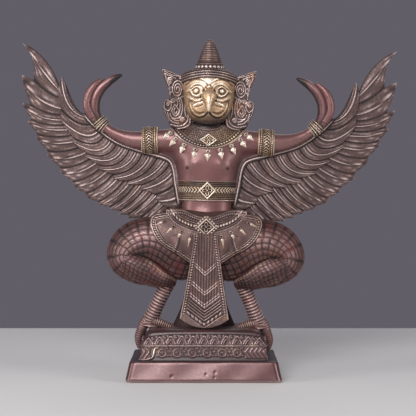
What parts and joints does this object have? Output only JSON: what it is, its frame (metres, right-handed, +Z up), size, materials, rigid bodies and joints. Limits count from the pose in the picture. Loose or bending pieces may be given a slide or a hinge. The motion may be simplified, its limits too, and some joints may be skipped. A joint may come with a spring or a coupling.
{
  "type": "garuda figure",
  "caption": "Cast bronze garuda with spread wings and raised hands, squatting on a stepped carved plinth.",
  "frame": {"origin": "centre of the plinth's underside", "axes": "+Z up, the figure faces -Y, +X towards the right-hand side of the picture"},
  "size_m": [0.3726, 0.106, 0.3289],
  "materials": {
    "figure_bronze": "dark red-brown patina, polished on the body",
    "gilt_brass": "rubbed brass where the patina is worn off",
    "wing_bronze": "grey-brown patina, bright on the raised lines",
    "plinth_bronze": "red-brown patina with a soft shine"
  },
  "bodies": {
    "root": {"garuda_figure": "figure_bronze", "plinth": "plinth_bronze"}
  },
  "joints": []
}
